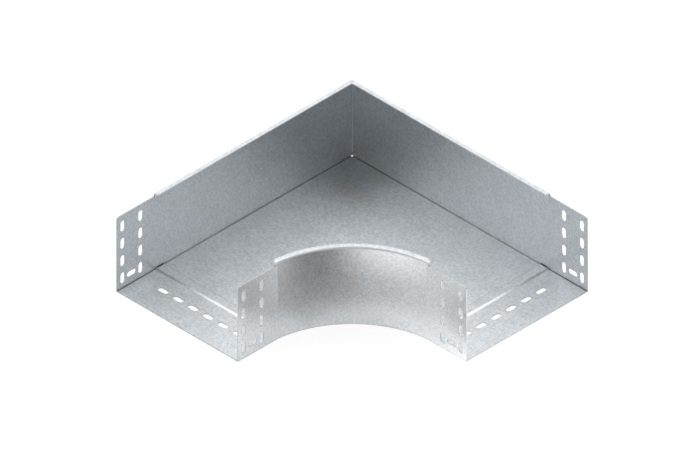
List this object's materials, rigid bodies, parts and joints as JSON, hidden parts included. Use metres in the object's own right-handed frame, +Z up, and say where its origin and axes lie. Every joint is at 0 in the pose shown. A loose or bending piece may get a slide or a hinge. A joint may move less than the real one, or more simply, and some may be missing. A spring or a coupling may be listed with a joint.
{
  "type": "cable tray bend",
  "caption": "Flat ninety degree bend for a cable tray, folded from galvanised sheet, with a curved inner wall, turned-in lips and slotted tongues at both ends.",
  "frame": {"origin": "middle of the square that holds the bend, at the floor's underside", "axes": "+Z up out of the open side; the outer corner is at -X and +Y, one leg opens towards -Y and the other towards +X"},
  "size_m": [0.394, 0.394, 0.1115],
  "materials": {
    "galvanised_sheet": "matt strip galvanised"
  },
  "bodies": {
    "root": {"tray_body": "galvanised_sheet", "inner_wall": "galvanised_sheet", "front_joint_plate": "galvanised_sheet", "right_joint_plate": "galvanised_sheet"}
  },
  "joints": []
}
